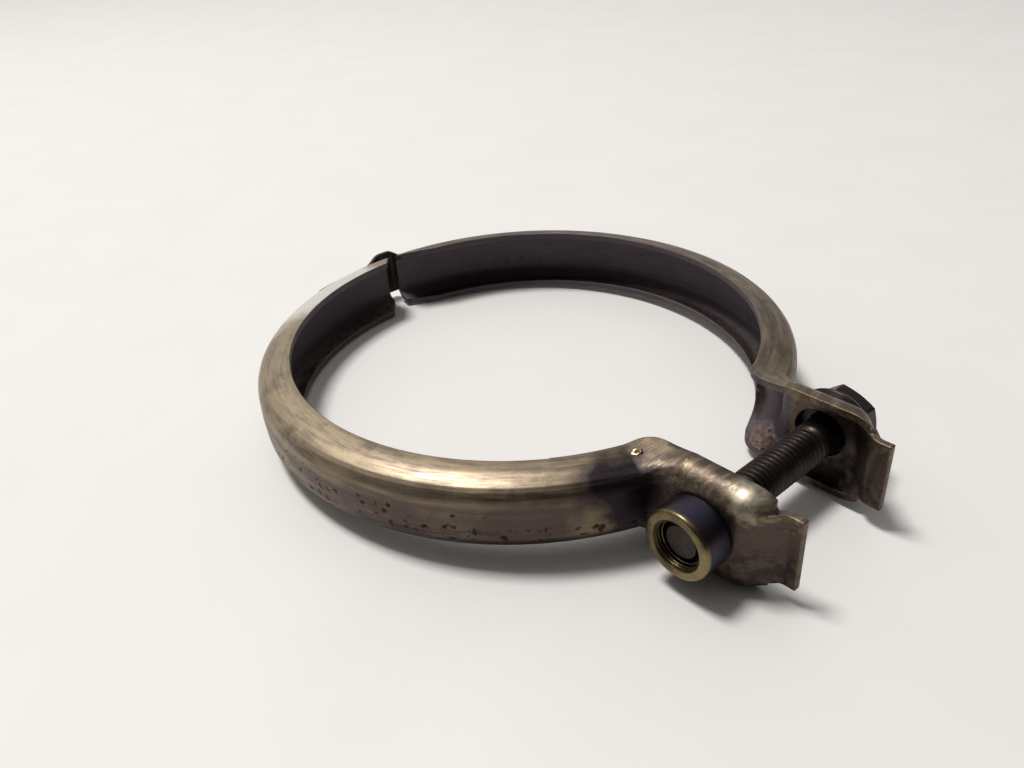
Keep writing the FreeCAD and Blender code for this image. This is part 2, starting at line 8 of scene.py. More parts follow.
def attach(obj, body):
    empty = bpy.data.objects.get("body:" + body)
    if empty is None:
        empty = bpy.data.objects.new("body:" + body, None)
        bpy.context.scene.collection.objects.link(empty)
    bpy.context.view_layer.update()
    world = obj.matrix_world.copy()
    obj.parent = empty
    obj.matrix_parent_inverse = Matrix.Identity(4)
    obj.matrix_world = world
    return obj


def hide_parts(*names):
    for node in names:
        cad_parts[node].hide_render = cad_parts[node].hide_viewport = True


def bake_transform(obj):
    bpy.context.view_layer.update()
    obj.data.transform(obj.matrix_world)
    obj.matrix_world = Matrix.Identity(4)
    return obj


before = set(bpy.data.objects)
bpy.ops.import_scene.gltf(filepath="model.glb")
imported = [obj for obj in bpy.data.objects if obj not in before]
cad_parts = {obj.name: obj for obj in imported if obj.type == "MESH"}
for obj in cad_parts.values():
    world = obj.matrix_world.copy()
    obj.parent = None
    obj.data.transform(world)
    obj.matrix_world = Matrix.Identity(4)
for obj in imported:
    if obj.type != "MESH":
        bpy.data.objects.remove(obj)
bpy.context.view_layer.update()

MM = 0.001

# Sizes of the clamp as the solids have them, in millimetres, with the angle of the gap's middle
SEAT_RADIUS = 53.5
CROWN = 61.5
MEAN_RADIUS = 58.0
GAP_MIDDLE = math.radians(3.12)
SCREW_Y = -67.302
DROP = -0.9
SCREW_TIP = -25.2
SEAT = 20.35
HEAD_TOP = 27.7
THREAD_END = 14.0

# The table touches the clamp's ears and rises towards its back, in millimetres and as a slope
EARS_Y = -70.0
FLOOR_AT_EARS = -12.0
FLOOR_RISE = 0.0285


# Materials

def linear(colour):
    """An sRGB colour such as #8a7060 as linear RGBA."""
    parts = [int(colour[i:i + 2], 16) / 255 for i in (1, 3, 5)]
    return tuple(p / 12.92 if p <= 0.04045 else ((p + 0.055) / 1.055) ** 2.4 for p in parts) + (1.0,)


def per(millimetres):
    """The scale of a pattern whose features have this size."""
    return 1000.0 / millimetres


def add(tree, kind, inputs=None, **settings):
    """Adds a node; each input is a value or another node's output."""
    made = tree.nodes.new(kind)
    for key, value in settings.items():
        setattr(made, key, value)
    for key, value in (inputs or {}).items():
        if isinstance(value, bpy.types.NodeSocket):
            tree.links.new(value, made.inputs[key])
        else:
            made.inputs[key].default_value = value
    return made


def new_material(name):
    """A material with an empty tree of nodes."""
    material = bpy.data.materials.new(name)
    material.use_nodes = True
    material.node_tree.nodes.clear()
    return material, material.node_tree


def painted(tree, colour, amount, over):
    """A colour, given as hex or by a node, laid over another where amount is 1."""
    top = linear(over) if isinstance(over, str) else over
    under = linear(colour) if isinstance(colour, str) else colour
    return add(tree, "ShaderNodeMix", {0: amount, 6: under, 7: top}, data_type="RGBA").outputs[2]


def near(tree, place, centre, inner, outer):
    """1 within inner millimetres of a spot on the clamp and 0 past outer."""
    spot = tuple(c * MM for c in centre)
    away = add(tree, "ShaderNodeVectorMath", {0: place, 1: spot}, operation="DISTANCE").outputs["Value"]
    return add(tree, "ShaderNodeMapRange", {
        "Value": away, "From Min": outer * MM, "From Max": inner * MM}).outputs[0]


def rubbed_edges(tree, radius):
    """The rounded normal of the edges, and 1 where it leaves the face's own."""
    rounded = add(tree, "ShaderNodeBevel", {"Radius": radius * MM}, samples=4).outputs[0]
    own = add(tree, "ShaderNodeNewGeometry").outputs["Normal"]
    same = add(tree, "ShaderNodeVectorMath", {
        0: rounded, 1: own}, operation="DOT_PRODUCT").outputs["Value"]
    worn = add(tree, "ShaderNodeMapRange", {
        "Value": same, "From Min": 0.985, "From Max": 0.90}).outputs[0]
    return rounded, worn


def shaken(tree, place, grain, detail, reach):
    """Positions moved about by a noise, its grain and reach in millimetres, for ragged edges."""
    noise = add(tree, "ShaderNodeTexNoise", {
        "Vector": place, "Scale": per(grain), "Detail": detail}).outputs["Color"]
    moved = add(tree, "ShaderNodeVectorMath", {
        0: noise, 1: (0.5, 0.5, 0.5)}, operation="SUBTRACT").outputs[0]
    moved = add(tree, "ShaderNodeVectorMath", {
        0: moved, "Scale": reach * MM}, operation="SCALE").outputs[0]
    return add(tree, "ShaderNodeVectorMath", {0: place, 1: moved}, operation="ADD").outputs[0]


def groove_faces(tree, flat, radius):
    """1 on the band's faces that look towards the ring's axis."""
    normal = add(tree, "ShaderNodeTexCoord").outputs["Normal"]
    outward = add(tree, "ShaderNodeVectorMath", {0: flat}, operation="NORMALIZE").outputs[0]
    looks = add(tree, "ShaderNodeVectorMath", {
        0: normal, 1: outward}, operation="DOT_PRODUCT").outputs["Value"]
    inside = add(tree, "ShaderNodeMapRange", {
        "Value": looks, "From Min": -0.12, "From Max": -0.30}).outputs[0]
    on_ring = add(tree, "ShaderNodeMapRange", {
        "Value": radius, "From Min": (CROWN + 1.0) * MM, "From Max": (CROWN + 0.3) * MM}).outputs[0]
    return add(tree, "ShaderNodeMath", {0: inside, 1: on_ring}, operation="MULTIPLY").outputs[0]


def chalky_end(tree, place, upper):
    """1 on the pale flank of the front half beside the gap."""
    end = add(tree, "ShaderNodeSeparateXYZ", {0: place})
    chalk = add(tree, "ShaderNodeMapRange", {
        "Value": end.outputs[1], "From Min": 40 * MM, "From Max": 47 * MM}).outputs[0]
    chalk = add(tree, "ShaderNodeMath", {0: chalk, 1: upper}, operation="MULTIPLY").outputs[0]
    left = add(tree, "ShaderNodeMapRange", {
        "Value": end.outputs[0], "From Min": -4 * MM, "From Max": -9 * MM, "To Max": 0.85}).outputs[0]
    return add(tree, "ShaderNodeMath", {0: chalk, 1: left}, operation="MULTIPLY").outputs[0]


def corrosion_pits(tree, place, stretched, y, z):
    """1 in pits of 0.3 to 1.5 mm, dense in places and mostly below the crown's upper corner."""
    low = add(tree, "ShaderNodeMapRange", {
        "Value": z, "From Min": 7 * MM, "From Max": -1 * MM, "To Min": 0.22, "To Max": 1.0}).outputs[0]
    before_ears = add(tree, "ShaderNodeMapRange", {
        "Value": y, "From Min": -66 * MM, "From Max": -58 * MM, "To Min": 0.2}).outputs[0]
    where = add(tree, "ShaderNodeTexNoise", {
        "Vector": stretched, "Scale": per(3.2), "Detail": 3.0}).outputs["Fac"]
    dense = add(tree, "ShaderNodeMapRange", {
        "Value": where, "From Min": 0.40, "From Max": 0.56}).outputs[0]
    dense = add(tree, "ShaderNodeMath", {0: dense, 1: low}, operation="MULTIPLY").outputs[0]
    dense = add(tree, "ShaderNodeMath", {0: dense, 1: before_ears}, operation="MULTIPLY").outputs[0]
    bent = shaken(tree, place, 1.4, 3.0, 2.4)
    cells = add(tree, "ShaderNodeTexVoronoi", {
        "Vector": bent, "Scale": per(2.2), "Randomness": 1.0}).outputs["Distance"]
    reach = add(tree, "ShaderNodeMapRange", {"Value": dense, "To Min": -0.02, "To Max": 0.36}).outputs[0]
    pit = add(tree, "ShaderNodeMath", {0: reach, 1: cells}, operation="SUBTRACT").outputs[0]
    pit = add(tree, "ShaderNodeMapRange", {"Value": pit, "From Min": 0.0, "From Max": 0.10}).outputs[0]
    specks = add(tree, "ShaderNodeTexVoronoi", {
        "Vector": bent, "Scale": per(1.3), "Randomness": 1.0}).outputs["Distance"]
    speck = add(tree, "ShaderNodeMapRange", {
        "Value": specks, "From Min": 0.18, "From Max": 0.08}).outputs[0]
    speck = add(tree, "ShaderNodeMath", {0: speck, 1: dense}, operation="MULTIPLY").outputs[0]
    return add(tree, "ShaderNodeMath", {0: pit, 1: speck}, operation="MAXIMUM").outputs[0]


# Stainless sheet, cold-pressed. Heat has tinted it from straw to brown and violet, soot lies in its
# groove, and salt has pitted the crown: a satin metal whose colour changes in clouds along the band.
def band_steel():
    material, tree = new_material("heat_tinted_stainless_steel")
    place = add(tree, "ShaderNodeTexCoord").outputs["Object"]
    apart = add(tree, "ShaderNodeSeparateXYZ", {0: place})
    x, y, z = apart.outputs[0], apart.outputs[1], apart.outputs[2]

    # Round the ring: arc length from the ears' side, distance from the axis, height
    back = add(tree, "ShaderNodeMath", {0: y, 1: -1.0}, operation="MULTIPLY").outputs[0]
    angle = add(tree, "ShaderNodeMath", {0: x, 1: back}, operation="ARCTAN2").outputs[0]
    arc = add(tree, "ShaderNodeMath", {0: angle, 1: MEAN_RADIUS * MM}, operation="MULTIPLY").outputs[0]
    flat = add(tree, "ShaderNodeCombineXYZ", {0: x, 1: y}).outputs[0]
    radius = add(tree, "ShaderNodeVectorMath", {0: flat}, operation="LENGTH").outputs["Value"]
    round_ring = add(tree, "ShaderNodeCombineXYZ", {0: arc, 1: radius, 2: z}).outputs[0]

    stretched = add(tree, "ShaderNodeMapping", {
        "Vector": round_ring, "Scale": (0.08, 1.0, 1.0)}).outputs[0]

    # Straw-silver on the flank far from the ears, where it is less oxidised, and browner near the ears;
    # the upper flank is also painted paler than the crown as a painted sheen from the bright room above
    clouds = add(tree, "ShaderNodeTexNoise", {
        "Vector": place, "Scale": per(20), "Detail": 5.0, "Roughness": 0.6}).outputs["Fac"]
    upper = add(tree, "ShaderNodeMapRange", {
        "Value": z, "From Min": 1.5 * MM, "From Max": 6.5 * MM}).outputs[0]
    far = add(tree, "ShaderNodeMapRange", {
        "Value": arc, "From Min": -25 * MM, "From Max": -100 * MM,
        "To Min": -0.15, "To Max": 1.0}).outputs[0]
    # Paler where less oxidised, and paler on the upper flank as painted sheen
    less_oxide_and_painted_sheen = add(tree, "ShaderNodeMath", {
        0: upper, 1: 0.45, 2: clouds}, operation="MULTIPLY_ADD").outputs[0]
    less_oxide_and_painted_sheen = add(tree, "ShaderNodeMath", {0: far, 1: 0.45, 2: less_oxide_and_painted_sheen}, operation="MULTIPLY_ADD").outputs[0]
    less_oxide_and_painted_sheen = add(tree, "ShaderNodeMapRange", {
        "Value": less_oxide_and_painted_sheen, "From Min": 0.62, "From Max": 1.30}).outputs[0]
    colour = painted(tree, "#5a4d46", less_oxide_and_painted_sheen, "#a5967f")

    ears = add(tree, "ShaderNodeMapRange", {
        "Value": y, "From Min": -58 * MM, "From Max": -64 * MM, "To Max": 0.55}).outputs[0]
    colour = painted(tree, colour, ears, "#4c423b")

    # Violet bands of heat, drawn out along the ring, and brown patches
    tint = add(tree, "ShaderNodeTexNoise", {
        "Vector": stretched, "Scale": per(4.5), "Detail": 3.0, "Distortion": 0.4}).outputs["Fac"]
    violet = add(tree, "ShaderNodeMapRange", {
        "Value": tint, "From Min": 0.50, "From Max": 0.66, "To Max": 0.55}).outputs[0]
    colour = painted(tree, colour, violet, "#4c3e42")
    patches = add(tree, "ShaderNodeTexNoise", {
        "Vector": place, "Scale": per(8), "Detail": 6.0, "Roughness": 0.7}).outputs["Fac"]
    stained = add(tree, "ShaderNodeMapRange", {
        "Value": patches, "From Min": 0.50, "From Max": 0.68, "To Max": 0.55}).outputs[0]
    colour = painted(tree, colour, stained, "#4a4038")

    # Brassy drawing lines, kept to the upper half as a painted sheen where the light falls, duller ones
    # all over, and a dark run low on the crown
    drawn = add(tree, "ShaderNodeMapping", {"Vector": round_ring, "Scale": (0.12, 1.0, 1.0)}).outputs[0]
    strokes = add(tree, "ShaderNodeTexNoise", {
        "Vector": drawn, "Scale": per(1.1), "Detail": 5.0, "Roughness": 0.6}).outputs["Fac"]
    brassy_lines_and_sheen = add(tree, "ShaderNodeMapRange", {
        "Value": strokes, "From Min": 0.50, "From Max": 0.64, "To Max": 0.34}).outputs[0]
    brassy_lines_and_sheen = add(tree, "ShaderNodeMath", {0: brassy_lines_and_sheen, 1: upper}, operation="MULTIPLY").outputs[0]
    colour = painted(tree, colour, brassy_lines_and_sheen, "#b3a07c")
    dull = add(tree, "ShaderNodeMapRange", {
        "Value": strokes, "From Min": 0.50, "From Max": 0.36, "To Max": 0.38}).outputs[0]
    colour = painted(tree, colour, dull, "#54473d")
    # Darker streaks low on the crown, towards its bottom edge
    low_band = add(tree, "ShaderNodeMapRange", {
        "Value": z, "From Min": -0.5 * MM, "From Max": -3.5 * MM}).outputs[0]
    low_dark_run = add(tree, "ShaderNodeTexNoise", {
        "Vector": drawn, "Scale": per(1.9), "Detail": 6.0, "Roughness": 0.7}).outputs["Fac"]
    low_dark_run = add(tree, "ShaderNodeMapRange", {
        "Value": low_dark_run, "From Min": 0.47, "From Max": 0.55, "To Max": 0.8}).outputs[0]
    low_dark_run = add(tree, "ShaderNodeMath", {0: low_dark_run, 1: low_band}, operation="MULTIPLY").outputs[0]
    colour = painted(tree, colour, low_dark_run, "#342b28")

    # Scorched blue-black beside the bend of the front ear, and the paler olive below it
    ragged = shaken(tree, place, 3.5, 5.0, 9.0)
    scorch = near(tree, ragged, (-26.0, -55.5, 4.0), 5.0, 11.0)
    scorch = add(tree, "ShaderNodeMath", {0: scorch, 1: 0.92}, operation="MULTIPLY").outputs[0]
    colour = painted(tree, colour, scorch, "#262029")
    paler = near(tree, ragged, (-32.0, -52.4, -2.2), 1.5, 6.0)
    paler = add(tree, "ShaderNodeMath", {0: paler, 1: 0.6}, operation="MULTIPLY").outputs[0]
    colour = painted(tree, colour, paler, "#87795f")

    chalk = chalky_end(tree, ragged, upper)
    colour = painted(tree, colour, chalk, "#dedad2")

    pits = corrosion_pits(tree, place, stretched, y, z)
    darkened = add(tree, "ShaderNodeMath", {0: pits, 1: 0.75}, operation="MULTIPLY").outputs[0]
    colour = painted(tree, colour, darkened, "#2a2321")

    # A painted highlight on the ridge of the front ear, in the colour of bare metal
    painted_ridge_highlight = near(tree, ragged, (-17.2, -74.4, 8.6), 0.8, 4.5)
    colour = painted(tree, colour, painted_ridge_highlight, "#cfc3ae")

    # Soot and oxide in the groove
    inside = groove_faces(tree, flat, radius)
    soot = painted(tree, "#433b46", patches, "#5c5156")
    colour = painted(tree, colour, inside, soot)

    rounded, worn = rubbed_edges(tree, 0.35)
    rub = add(tree, "ShaderNodeMapRange", {
        "Value": patches, "From Min": 0.38, "From Max": 0.56, "To Max": 0.75}).outputs[0]
    worn = add(tree, "ShaderNodeMath", {0: worn, 1: rub}, operation="MULTIPLY").outputs[0]
    colour = painted(tree, colour, worn, "#a08a62")

    # Fine drawing lines along the band, about 0.5 mm apart
    lines = add(tree, "ShaderNodeTexNoise", {
        "Vector": stretched, "Scale": per(0.5), "Detail": 4.0, "Roughness": 0.65}).outputs["Fac"]
    rough = add(tree, "ShaderNodeMapRange", {
        "Value": lines, "From Min": 0.3, "From Max": 0.7, "To Min": 0.34, "To Max": 0.54}).outputs[0]
    rough = add(tree, "ShaderNodeMath", {
        0: inside, 1: 0.16, 2: rough}, operation="MULTIPLY_ADD").outputs[0]
    rough = add(tree, "ShaderNodeMath", {
        0: pits, 1: 0.25, 2: rough}, operation="MULTIPLY_ADD").outputs[0]
    metal = add(tree, "ShaderNodeMapRange", {"Value": inside, "To Min": 0.96, "To Max": 0.35}).outputs[0]
    metal = add(tree, "ShaderNodeMath", {
        0: chalk, 1: -0.6, 2: metal}, operation="MULTIPLY_ADD").outputs[0]

    grain = add(tree, "ShaderNodeTexNoise", {
        "Vector": place, "Scale": per(0.6), "Detail": 3.0}).outputs["Fac"]
    height = add(tree, "ShaderNodeMath", {
        0: lines, 1: 0.4, 2: grain}, operation="MULTIPLY_ADD").outputs[0]
    height = add(tree, "ShaderNodeMath", {
        0: pits, 1: -2.5, 2: height}, operation="MULTIPLY_ADD").outputs[0]
    bump = add(tree, "ShaderNodeBump", {
        "Height": height, "Distance": 0.016 * MM, "Strength": 0.8, "Normal": rounded}).outputs[0]
    dents = add(tree, "ShaderNodeTexNoise", {
        "Vector": stretched, "Scale": per(4), "Detail": 1.0}).outputs["Fac"]
    bump = add(tree, "ShaderNodeBump", {
        "Height": dents, "Distance": 0.16 * MM, "Strength": 0.6, "Normal": bump}).outputs[0]
    shader = add(tree, "ShaderNodeBsdfPrincipled", {
        "Base Color": colour, "Metallic": metal, "Roughness": rough, "Normal": bump})
    add(tree, "ShaderNodeOutputMaterial", {"Surface": shader.outputs[0]})
    return material


def dark_steel(name, main, other, cloud_size, roughness, edge):
    """Machined or rolled steel under a skin of oil and oxide, with rubbed edges."""
    material, tree = new_material(name)
    place = add(tree, "ShaderNodeTexCoord").outputs["Object"]
    clouds = add(tree, "ShaderNodeTexNoise", {
        "Vector": place, "Scale": per(cloud_size), "Detail": 5.0, "Roughness": 0.65}).outputs["Fac"]
    mixed = add(tree, "ShaderNodeMapRange", {
        "Value": clouds, "From Min": 0.38, "From Max": 0.62}).outputs[0]
    colour = painted(tree, main, mixed, other)
    rounded, worn = rubbed_edges(tree, 0.22)
    worn = add(tree, "ShaderNodeMath", {0: worn, 1: 0.75}, operation="MULTIPLY").outputs[0]
    colour = painted(tree, colour, worn, edge)
    grain = add(tree, "ShaderNodeTexNoise", {
        "Vector": place, "Scale": per(0.5), "Detail": 4.0}).outputs["Fac"]
    rough = add(tree, "ShaderNodeMapRange", {
        "Value": grain, "From Min": 0.3, "From Max": 0.7,
        "To Min": roughness - 0.07, "To Max": roughness + 0.07}).outputs[0]
    bump = add(tree, "ShaderNodeBump", {
        "Height": grain, "Distance": 0.02 * MM, "Strength": 0.8, "Normal": rounded}).outputs[0]
    shader = add(tree, "ShaderNodeBsdfPrincipled", {
        "Base Color": colour, "Metallic": 0.92, "Roughness": rough, "Normal": bump})
    add(tree, "ShaderNodeOutputMaterial", {"Surface": shader.outputs[0]})
    return material


# Turned steel, tempered by heat: a straw-yellow face round a recess and bore painted dark as painted
# shade, and a blue-violet cylinder.
def nut_steel():
    material, tree = new_material("temper_coloured_nut_steel")
    place = add(tree, "ShaderNodeTexCoord").outputs["Object"]
    x = add(tree, "ShaderNodeSeparateXYZ", {0: place}).outputs[0]
    clouds = add(tree, "ShaderNodeTexNoise", {
        "Vector": place, "Scale": per(6), "Detail": 5.0, "Roughness": 0.65}).outputs["Fac"]
    straw = add(tree, "ShaderNodeMapRange", {
        "Value": x, "From Min": -25.5 * MM, "From Max": -26.3 * MM}).outputs[0]
    mixed = add(tree, "ShaderNodeMapRange", {
        "Value": clouds, "From Min": 0.40, "From Max": 0.60}).outputs[0]
    cylinder = painted(tree, "#453a40", mixed, "#3a3a4e")
    face = painted(tree, "#574d3c", mixed, "#82734f")
    colour = painted(tree, cylinder, straw, face)
    off = add(tree, "ShaderNodeVectorMath", {
        0: place, 1: (0.0, SCREW_Y * MM, DROP * MM)}, operation="SUBTRACT").outputs[0]
    off = add(tree, "ShaderNodeVectorMath", {
        0: off, 1: (0.0, 1.0, 1.0)}, operation="MULTIPLY").outputs[0]
    out = add(tree, "ShaderNodeVectorMath", {0: off}, operation="LENGTH").outputs["Value"]
    # Painted shade: the recess and bore round the screw made dark
    bore = add(tree, "ShaderNodeMapRange", {
        "Value": out, "From Min": 5.15 * MM, "From Max": 4.9 * MM}).outputs[0]
    colour = painted(tree, colour, bore, "#33291f")
    rounded, worn = rubbed_edges(tree, 0.3)
    worn = add(tree, "ShaderNodeMath", {0: worn, 1: 0.8}, operation="MULTIPLY").outputs[0]
    colour = painted(tree, colour, worn, "#a8966c")
    grain = add(tree, "ShaderNodeTexNoise", {
        "Vector": place, "Scale": per(0.5), "Detail": 4.0}).outputs["Fac"]
    rough = add(tree, "ShaderNodeMapRange", {
        "Value": grain, "From Min": 0.3, "From Max": 0.7, "To Min": 0.28, "To Max": 0.42}).outputs[0]
    bump = add(tree, "ShaderNodeBump", {
        "Height": grain, "Distance": 0.015 * MM, "Strength": 0.8, "Normal": rounded}).outputs[0]
    shader = add(tree, "ShaderNodeBsdfPrincipled", {
        "Base Color": colour, "Metallic": 0.95, "Roughness": rough, "Normal": bump})
    add(tree, "ShaderNodeOutputMaterial", {"Surface": shader.outputs[0]})
    return material


# Printed laminate: an even, nearly white and matt ground with faint mottling.
def table_top():
    material, tree = new_material("pale_table_top")
    place = add(tree, "ShaderNodeTexCoord").outputs["Object"]
    mottle = add(tree, "ShaderNodeTexNoise", {
        "Vector": place, "Scale": per(30), "Detail": 6.0}).outputs["Fac"]
    colour = painted(tree, "#e6e4df", mottle, "#eeece8")
    shader = add(tree, "ShaderNodeBsdfPrincipled", {"Base Color": colour, "Roughness": 0.6})
    add(tree, "ShaderNodeOutputMaterial", {"Surface": shader.outputs[0]})
    return material


# Pieces

def sharp_edges(mesh, above):
    """The edges whose faces meet at more than an angle in degrees."""
    return [e for e in mesh.edges if e.is_manifold and e.calc_face_angle() > math.radians(above)]


# Degrees between two faces below which the edge between them is shaded smooth
SMOOTH_BELOW = 38


def finished(mesh, name, material):
    """An object from a bmesh in millimetres, smooth but for its sharp edges and its flat faces."""
    bmesh.ops.recalc_face_normals(mesh, faces=mesh.faces)
    bmesh.ops.scale(mesh, vec=(MM, MM, MM), verts=mesh.verts)
    data = bpy.data.meshes.new(name)
    mesh.to_mesh(data)
    mesh.free()
    made = bpy.data.objects.new(name, data)
    bpy.context.scene.collection.objects.link(made)
    data.materials.append(material)
    data.shade_smooth()
    data.set_sharp_from_angle(angle=math.radians(SMOOTH_BELOW))
    weighted = made.modifiers.new("flat_faces_kept", "WEIGHTED_NORMAL")
    weighted.keep_sharp = True
    weighted.weight = 50
    return made


# The cut edges are broken on the ring behind RING_FRONT and on the ears' lips in front of LIP_FRONT
RING_FRONT = -44.0
LIP_FRONT = -80.0
EDGE_BREAK = 0.22
# Heights where the section gets rows of points, clear of the sheet's edges
LEVELS = (0.6, 1.8, 2.8, 3.7, 4.5, 5.2, 5.8, 6.15, 6.95, 7.3, 7.7)
FLANK_BULGE = 0.55
CROWN_DROP = 0.35
# The flank's normal, outwards and along the ring's axis
FLANK_OUT, FLANK_UP = 0.27, 0.96
# Degrees from the middle between the ears where the swelling starts, and over which it grows
SWELL_FROM, SWELL_OVER = 19, 13
# Distance from the ring's middle plane where the flank swells fully
FULL_SWELL = 4.5
# Half the crown's width, and the radius where the crown's rounding starts and over which it grows
HALF_CROWN = 5.5
ROUNDS_FROM, ROUNDS_OVER = 57.0, 3.0


def fullness(point):
    """How far drawing has swollen the flanks and rounded the crown at a point, none at the ears."""
    out = Vector((point.x, point.y, 0))
    radius = out.length
    azimuth = abs(math.degrees(math.atan2(point.x, -point.y)))
    fade = min(max((azimuth - SWELL_FROM) / SWELL_OVER, 0.0), 1.0)
    fade = fade * fade * (3 - 2 * fade)
    along = min(max((radius - SEAT_RADIUS) / (CROWN - SEAT_RADIUS), 0.0), 1.0)
    bulge = FLANK_BULGE * math.sin(math.pi * along) * min(abs(point.z) / FULL_SWELL, 1.0)
    side = 1 if point.z > 0 else -1
    onto_crown = min(max((radius - ROUNDS_FROM) / ROUNDS_OVER, 0.0), 1.0)
    inwards = CROWN_DROP * (point.z / HALF_CROWN) ** 2 * onto_crown
    upwards = Vector((0, 0, side * FLANK_UP * bulge))
    return fade * (out.normalized() * (FLANK_OUT * bulge - inwards) + upwards)


def pressing(node, name, material):
    """A pressed half from its solid, with its facets joined and its cut edges broken."""
    mesh = bmesh.new()
    mesh.from_mesh(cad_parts[node].data)
    bmesh.ops.scale(mesh, vec=(1 / MM, 1 / MM, 1 / MM), verts=mesh.verts)
    bmesh.ops.remove_doubles(mesh, verts=mesh.verts, dist=1e-3)
    bmesh.ops.dissolve_limit(mesh, angle_limit=math.radians(0.3), verts=mesh.verts, edges=mesh.edges)
    cut = [e for e in sharp_edges(mesh, 45)
           if all(v.co.y > RING_FRONT or v.co.y < LIP_FRONT for v in e.verts)]
    bmesh.ops.bevel(mesh, geom=cut, offset=EDGE_BREAK, offset_type="OFFSET", affect="EDGES",
                    segments=2, profile=0.5, material=-1, clamp_overlap=False)
    for level in LEVELS:
        for side in (-1, 1):
            whole = mesh.verts[:] + mesh.edges[:] + mesh.faces[:]
            bmesh.ops.bisect_plane(mesh, geom=whole, dist=1e-3,
                                   plane_co=(0, 0, side * level), plane_no=(0, 0, 1))
    for v in mesh.verts:
        v.co += fullness(v.co)
    return finished(mesh, name, material)


def lathe(mesh, profile, segments):
    """Turns a profile of (x, radius) points about the screw's axis."""
    points = [mesh.verts.new((x, SCREW_Y + r, DROP)) for x, r in profile]
    edges = [mesh.edges.new(pair) for pair in zip(points, points[1:])]
    bmesh.ops.spin(mesh, geom=points + edges, cent=(0, SCREW_Y, DROP), axis=(1, 0, 0),
                   angle=2 * math.pi, steps=segments, use_merge=True, use_duplicate=False)
    bmesh.ops.remove_doubles(mesh, verts=mesh.verts, dist=1e-4)


def corner(x, r, radius, start, end, steps):
    """Points of a rounded corner about (x, r)."""
    turns = [math.radians(start + (end - start) * i / steps) for i in range(steps + 1)]
    return [(x + radius * math.cos(t), r + radius * math.sin(t)) for t in turns]


PITCH = 1.25
MAJOR = 4.0
# Shares of a pitch and depths below the crest: crest, flank, root, flank, and the next crest
THREAD = ((0.0, 0.04), (0.06, 0.0), (0.16, 0.0), (0.22, 0.04),
          (0.46, 0.70), (0.54, 0.77), (0.66, 0.77), (0.74, 0.70), (1.0, 0.04))
TIP_RADIUS = 3.1
RUN_OUT = 1.6


def threaded_rod(mesh, start, end, segments):
    """A helix of the thread's profile, cut to length, with a chamfered tip and a run-out."""
    turns = int((end - start) / PITCH) + 3
    first = start - PITCH
    row = [mesh.verts.new((first + share * PITCH, SCREW_Y + MAJOR - depth, DROP))
           for share, depth in THREAD]
    edges = [mesh.edges.new(pair) for pair in zip(row, row[1:])]
    steps = turns * segments
    bmesh.ops.spin(mesh, geom=row + edges, cent=(0, SCREW_Y, DROP), axis=(1, 0, 0),
                   dvec=(PITCH / segments, 0, 0), angle=2 * math.pi * turns, steps=steps,
                   use_merge=False, use_duplicate=False)
    bmesh.ops.remove_doubles(mesh, verts=mesh.verts, dist=1e-3)
    for place, keeps_below in ((start, False), (end, True)):
        whole = mesh.verts[:] + mesh.edges[:] + mesh.faces[:]
        bmesh.ops.bisect_plane(mesh, geom=whole, dist=1e-5, plane_co=(place, 0, 0), plane_no=(1, 0, 0),
                               clear_inner=not keeps_below, clear_outer=keeps_below)
    for v in mesh.verts:
        out = Vector((0, v.co.y - SCREW_Y, v.co.z - DROP))
        fade = min(max((end - v.co.x) / RUN_OUT, 0.0), 1.0)
        depth = (MAJOR - out.length) * fade
        tip = TIP_RADIUS + (v.co.x - start)
        out = out.normalized() * min(MAJOR - depth, tip)
        v.co.y, v.co.z = SCREW_Y + out.y, DROP + out.z
    open_edges = [e for e in mesh.edges if e.is_boundary]
    bmesh.ops.edgeloop_fill(mesh, edges=open_edges)


FLANGE_RADIUS = 8.3
FLANGE_TOP = SEAT + 2.8
FLANGE_RIM = 0.35
FLANGE_SHOULDER = 0.5
ACROSS_FLATS = 13.0
FIRST_CORNER = math.radians(20)
CHAMFER = math.tan(math.radians(30))
FACE_RADIUS = 5.4


def hexagon_radius(angle):
    """Distance of the head's flats from the screw's axis, in a direction from +Y towards +Z."""
    off = (angle - FIRST_CORNER) % math.radians(60) - math.radians(30)
    return ACROSS_FLATS / 2 / math.cos(off)


